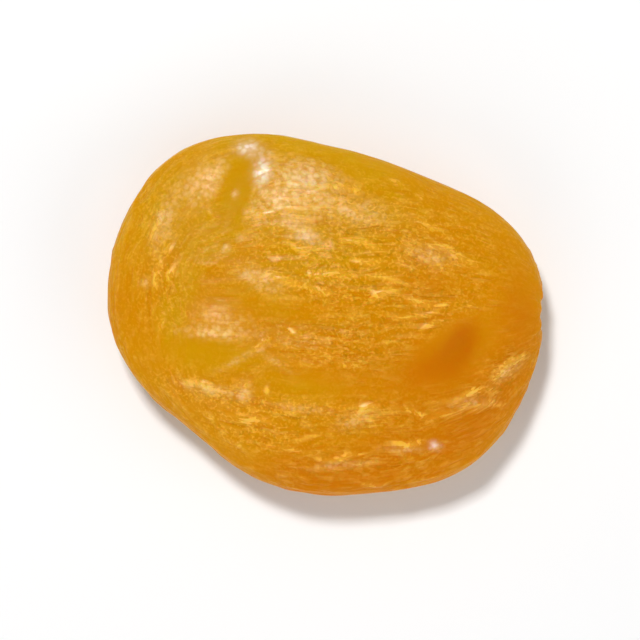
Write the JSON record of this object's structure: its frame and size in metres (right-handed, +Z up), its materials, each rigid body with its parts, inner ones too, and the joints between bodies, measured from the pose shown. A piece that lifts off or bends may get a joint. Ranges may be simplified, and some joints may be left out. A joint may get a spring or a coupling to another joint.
{
  "type": "dried apricot",
  "caption": "Whole dried apricot, stoned and dried flat: an oval amber fruit with a wrinkled skin, a dimple near the stem end and a smooth rounded rim.",
  "frame": {"origin": "centre of the bounding box at the bottom, on the flat spot that the fruit lies on", "axes": "+X along the longest way across the fruit, +Y across it in the lying plane, +Z up through its thickness; the stem end is on the rim towards +X and +Y"},
  "size_m": [0.044, 0.0344, 0.0128],
  "materials": {
    "flesh": "amber, slightly translucent, waxy and wrinkled, semi-gloss"
  },
  "bodies": {
    "root": {"apricot": "flesh"}
  },
  "joints": []
}
